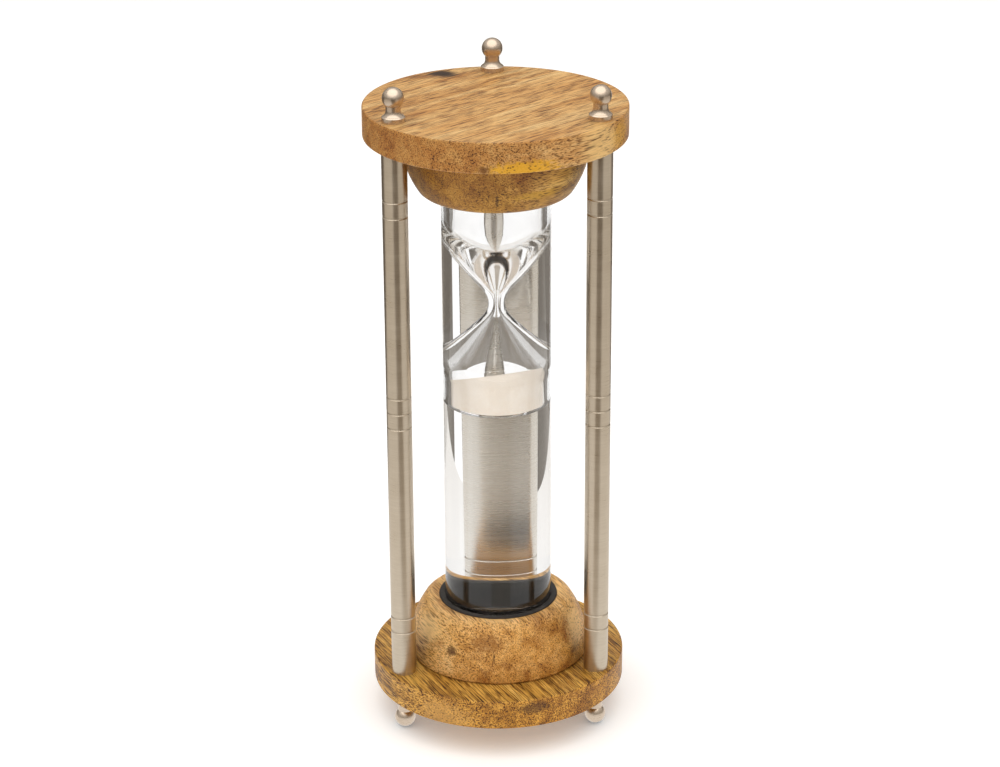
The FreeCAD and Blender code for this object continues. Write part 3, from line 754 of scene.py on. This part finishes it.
def cupCorners():
    # the bulging side meets the rounded shoulder and the flat mouth
    start = Vector((cups["baseRadius"], cups["step"]))
    end = Vector((cups["mouthRadius"], cups["height"]))
    chord = end - start
    left = Vector((-chord.y, chord.x)).normalized()
    reach = cups["sideRadius"]
    centre = (start + end) / 2 + left * math.sqrt(reach ** 2 - chord.length_squared / 4)
    level = cups["height"] - cups["shoulder"]
    across = centre.x + math.sqrt((reach - cups["shoulder"]) ** 2 - (level - centre.y) ** 2)
    corner = Vector((across, level))
    touch = centre + (corner - centre).normalized() * reach
    return [(0, 0), (cups["baseRadius"] - cups["step"], 0),
            (cups["baseRadius"] - cups["step"], cups["step"]),
            (cups["baseRadius"], cups["step"], cups["sideRadius"]),
            (touch.x, touch.y, cups["shoulder"]),
            (across, cups["height"]),
            (cups["boreRadius"], cups["height"]),
            (cups["boreRadius"], cups["boreFloor"]), (0, cups["boreFloor"])]


def makeCup(name, node, wood, upsideDown):
    form = bmesh.new()
    turnProfile(form, cupCorners(), cups["sides"], fine=4)
    if upsideDown:
        bmesh.ops.rotate(form, verts=form.verts[:], cent=(0, 0, 0),
                         matrix=Matrix.Rotation(math.pi, 3, "X"))
    height = topOf(node) if upsideDown else bottomOf(node)
    bmesh.ops.translate(form, verts=form.verts[:], vec=(0, 0, height * mm))
    return finishPiece(name, form, "stand", [node], [wood])


makeCup("lower_cup_wood", "lower_cup", woods["lowerCup"], False)
makeCup("upper_cup_wood", "upper_cup", woods["upperCup"], True)
print("cups made")


sleeves = {"outer": 23.95, "inner": 21.5, "lip": 0.6, "height": 15.1, "sides": 128}


def makeSleeve(name, node, upsideDown):
    outer, inner, lip, tall = (sleeves[key] for key in ("outer", "inner", "lip", "height"))
    form = bmesh.new()
    turnProfile(form, [(inner, 0), (outer, 0), (outer, tall - lip, lip), (outer - lip, tall),
                       (inner + lip, tall, lip), (inner, tall - lip)],
                sleeves["sides"], fine=15, ring=True)
    if upsideDown:
        bmesh.ops.rotate(form, verts=form.verts[:], cent=(0, 0, 0),
                         matrix=Matrix.Rotation(math.pi, 3, "X"))
    height = topOf(node) if upsideDown else bottomOf(node)
    bmesh.ops.translate(form, verts=form.verts[:], vec=(0, 0, height * mm))
    return finishPiece(name, form, "stand", [node], [blackRubber])


makeSleeve("lower_sleeve_rubber", "lower_sleeve", False)
makeSleeve("upper_sleeve_rubber", "upper_sleeve", True)
print("sleeves made")


tube = {
    "radius": 21.4, "inner": 19.9, "floor": 3.0, "corner": 1.5, "sides": 192,
    "liquidGap": 0.05,  # keeps the liquid's skin off the glass
}


def makeTube():
    bottom, top = bottomOf("outer_tube"), topOf("outer_tube")
    radius, inner, corner = tube["radius"], tube["inner"], tube["corner"]
    form = bmesh.new()
    faces = turnProfile(form, [
        (0, bottom), (radius - corner, bottom, corner), (radius, bottom + corner),
        (radius, top), (inner, top), (inner, bottom + tube["floor"]),
        (0, bottom + tube["floor"])], tube["sides"], fine=9)
    midWall = (radius + inner) / 2 * mm
    midFloor = (bottom + tube["floor"] / 2) * mm
    for face in faces:
        middle = face.calc_center_median()
        inside = middle.xy.length < midWall - weldGap and middle.z > midFloor
        face.material_index = 1 if inside else 0
    return finishPiece("outer_tube_glass", form, "stand", ["outer_tube"],
                       [tubeOutside, tubeInside])


def makeLiquid():
    # a plain cylinder that the timer floats inside, so it holds at every height of the timer
    low, high = bottomOf("liquid"), topOf("liquid")
    across = tube["inner"] - tube["liquidGap"]
    form = bmesh.new()
    turnProfile(form, [(0, low), (across, low), (across, high), (0, high)], tube["sides"])
    return finishPiece("liquid_fill", form, "stand", ["liquid"], [liquidFill])


makeTube()
makeLiquid()
print("tube and liquid made")


timer = {
    "radius": 19.3, "wall": 1.3, "floor": 1.2, "half": 43.25, "corner": 1.6,
    "waist": 2.4, "waistRound": 10.0, "bore": 0.8, "boreRound": 11.6,
    "shoulder": 14.0, "innerShoulder": 12.7, "lean": 35.0, "sides": 160,
}


def neckCorners(waist, waistRound, wall, shoulderRound, lowerOnly=False):
    # from the chamber's wall below, over its shoulder and the cone, to the neck and back out
    cosine = math.cos(math.radians(timer["lean"]))
    sine = math.sin(math.radians(timer["lean"]))
    neckAcross = waist + waistRound * (1 - cosine)
    neckUp = waistRound * sine
    shoulderAcross = wall - shoulderRound * (1 - cosine)
    shoulderUp = neckUp + (shoulderAcross - neckAcross) * cosine / sine
    wallUp = shoulderUp + shoulderRound * sine
    middle = timer["half"]
    lower = [(wall, middle - wallUp, shoulderRound), (shoulderAcross, middle - shoulderUp),
             (neckAcross, middle - neckUp, -waistRound)]
    upper = [(neckAcross, middle + neckUp), (shoulderAcross, middle + shoulderUp, shoulderRound),
             (wall, middle + wallUp)]
    return lower if lowerOnly else lower + upper


def makeTimer():
    outer, corner, tall = timer["radius"], timer["corner"], timer["half"] * 2
    inner, floor = outer - timer["wall"], timer["floor"]
    form = bmesh.new()
    turnProfile(form, [(0, 0), (outer - corner, 0, corner), (outer, corner),
                       *neckCorners(timer["waist"], timer["waistRound"], outer,
                                    timer["shoulder"]),
                       (outer, tall - corner, corner), (outer - corner, tall), (0, tall)],
                timer["sides"], fine=2.5)
    hollow = turnProfile(form, [(0, floor), (inner, floor),
                                *neckCorners(timer["bore"], timer["boreRound"], inner,
                                             timer["innerShoulder"]),
                                (inner, tall - floor), (0, tall - floor)],
                         timer["sides"], fine=2.5)
    for face in hollow:
        face.material_index = 1
    bmesh.ops.reverse_faces(form, faces=hollow)  # out of the glass, into the air inside
    bmesh.ops.translate(form, verts=form.verts[:], vec=(0, 0, bottomOf("timer_glass") * mm))
    return finishPiece("timer_glass_clear", form, "timer", ["timer_glass"],
                       [timerOutside, timerInside])


sandHeap = {
    "gap": 0.05, "level": 12.05, "lean": 20.96, "towards": -67.3,
    "rings": 16, "firstRing": 0.4, "ripple": 0.12, "rippleSize": 3.2, "sides": 128,
    "weld": 0.05, "crease": 40,
}


def makeSand():
    wall = timer["radius"] - timer["wall"] - sandHeap["gap"]
    floor = timer["floor"] + sandHeap["gap"]
    lower = neckCorners(timer["bore"], timer["boreRound"], wall, timer["innerShoulder"],
                        lowerOnly=True)
    form = bmesh.new()
    turnProfile(form, [(0, floor), (wall, floor), *lower[:2], lower[2][:2], (0, lower[2][1])],
                sandHeap["sides"], fine=4)
    level = Vector((0, 0, sandHeap["level"])) * mm
    towards = math.radians(sandHeap["towards"])
    lean = math.radians(sandHeap["lean"])
    slope = Vector((-math.sin(lean) * math.cos(towards), -math.sin(lean) * math.sin(towards),
                    math.cos(lean)))
    bmesh.ops.bisect_plane(form, geom=form.verts[:] + form.edges[:] + form.faces[:],
                           plane_co=level, plane_no=slope, clear_outer=True)
    bmesh.ops.remove_doubles(form, verts=form.verts[:], dist=sandHeap["weld"] * mm)
    rim = [edge for edge in form.edges if len(edge.link_faces) == 1]
    ring = 1.0
    for step in range(sandHeap["rings"]):
        smaller = 1 - (step + sandHeap["firstRing"]) / sandHeap["rings"]
        made = bmesh.ops.extrude_edge_only(form, edges=rim)["geom"]
        moved = [item for item in made if isinstance(item, bmesh.types.BMVert)]
        rim = [item for item in made if isinstance(item, bmesh.types.BMEdge)
               and all(v in moved for v in item.verts)]
        bmesh.ops.scale(form, verts=moved, vec=(smaller / ring,) * 3,
                        space=Matrix.Translation(-level))
        ring = smaller
        for v in moved:
            v.co.z += sandHeap["ripple"] * mm * noise.noise(v.co / (sandHeap["rippleSize"] * mm))
    top = bmesh.ops.contextual_create(form, geom=rim)["faces"]
    bmesh.ops.poke(form, faces=top)
    bmesh.ops.recalc_face_normals(form, faces=form.faces[:])
    bmesh.ops.translate(form, verts=form.verts[:], vec=(0, 0, bottomOf("timer_glass") * mm))
    return finishPiece("sand_heap", form, "timer", ["sand"], [creamSand],
                       crease=sandHeap["crease"])


makeTimer()
makeSand()
print("timer and sand made")


posts = {
    "radius": 4.9, "bore": 2.6, "length": 218.0, "grooveRadius": 0.45, "grooveDepth": 0.3,
    "grooves": [18.7, 25.0, 106.96, 113.3, 119.64, 193.0, 199.3], "sides": 64,
}


def makePost(side):
    radius, bore, cutter = posts["radius"], posts["bore"], posts["grooveRadius"]
    half = math.sqrt(cutter ** 2 - (cutter - posts["grooveDepth"]) ** 2)
    corners = [(bore, 0), (radius, 0)]
    for level in posts["grooves"]:
        corners += [(radius, level - half, -cutter), (radius, level + half)]
    corners += [(radius, posts["length"]), (bore, posts["length"])]
    form = bmesh.new()
    turnProfile(form, corners, posts["sides"], fine=20, ring=True)
    lift = Vector((0, 0, bottomOf(side + "_post") * mm))
    bmesh.ops.translate(form, verts=form.verts[:], vec=columnPlace(side) + lift)
    plating = rearNickel if side == "rear" else postNickel
    return finishPiece(side + "_post_tube", form, "stand", [side + "_post"],
                       [plating], crease=28)


nuts = {
    "height": 13.0, "flange": 4.5, "flangeHeight": 2.2, "bevel": 0.45, "flare": 3.8,
    "flareHeight": 4.8, "flareRound": 3.2, "neck": 2.85, "ball": 4.15, "flat": 1.0,
    "bore": 2.0, "boreDepth": 7.5, "sides": 64,
}


def makeNut(side, kind, upsideDown):
    ball, flat, neck = nuts["ball"], nuts["flat"], nuts["neck"]
    centre = nuts["height"] - math.sqrt(ball ** 2 - flat ** 2)
    underBall = centre - math.sqrt(ball ** 2 - neck ** 2)
    form = bmesh.new()
    turnProfile(form, [
        (nuts["bore"], 0), (nuts["flange"], 0),
        (nuts["flange"], nuts["flangeHeight"] - nuts["bevel"]),
        (nuts["flange"] - nuts["bevel"], nuts["flangeHeight"]),
        (nuts["flare"], nuts["flangeHeight"], -nuts["flareRound"]),
        (neck, nuts["flareHeight"]), (neck, underBall, ball), (ball, centre, ball),
        (flat, nuts["height"]), (0, nuts["height"])], nuts["sides"], fine=6)
    turnProfile(form, [(nuts["bore"], 0), (nuts["bore"], nuts["boreDepth"]),
                       (0, nuts["boreDepth"])], nuts["sides"])
    bmesh.ops.remove_doubles(form, verts=form.verts[:], dist=weldGap)
    bmesh.ops.recalc_face_normals(form, faces=form.faces[:])
    if upsideDown:
        bmesh.ops.rotate(form, verts=form.verts[:], cent=(0, 0, 0),
                         matrix=Matrix.Rotation(math.pi, 3, "X"))
    node = side + "_" + kind
    height = topOf(node) if upsideDown else bottomOf(node)
    place = columnPlace(side) + Vector((0, 0, height * mm))
    bmesh.ops.translate(form, verts=form.verts[:], vec=place)
    return finishPiece(node + "_nut", form, "stand", [node], [nutNickel],
                       crease=30)


for side in columnAngles:
    makePost(side)
    makeNut(side, "finial", False)
    makeNut(side, "foot", True)
print("columns made")


carried = {
    "lower_cushion": blackRubber, "upper_cushion": blackRubber, "tube_stopper": blackRubber,
    "rear_tie_rod": zincSteel, "left_tie_rod": zincSteel, "right_tie_rod": zincSteel,
}
for node, material in carried.items():
    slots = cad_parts[node].data.materials
    slots.clear()
    slots.append(material)
print("carried parts finished")
